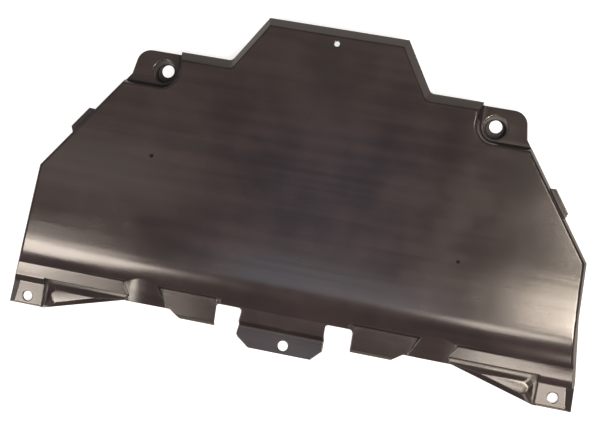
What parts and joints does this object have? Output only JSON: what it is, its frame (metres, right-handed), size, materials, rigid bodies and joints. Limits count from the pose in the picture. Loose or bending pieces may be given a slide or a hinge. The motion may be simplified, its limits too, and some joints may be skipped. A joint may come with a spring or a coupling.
{
  "type": "engine splash shield",
  "caption": "Moulded undertray that covers the engine from below, with a crowned floor, a turned-down rim, screw ears at the rear and mounting tabs along its bent front edge.",
  "frame": {"origin": "centre of the shield's outline, on the bench it rests on", "axes": "+X across the vehicle, +Y towards the narrow rear tongue, +Z out of the convex road side"},
  "size_m": [0.894, 0.51, 0.05],
  "materials": {
    "moulded_plastic": "brown-black moulded polypropylene with a satin sheen"
  },
  "bodies": {
    "root": {"splash_shield": "moulded_plastic"}
  },
  "joints": []
}
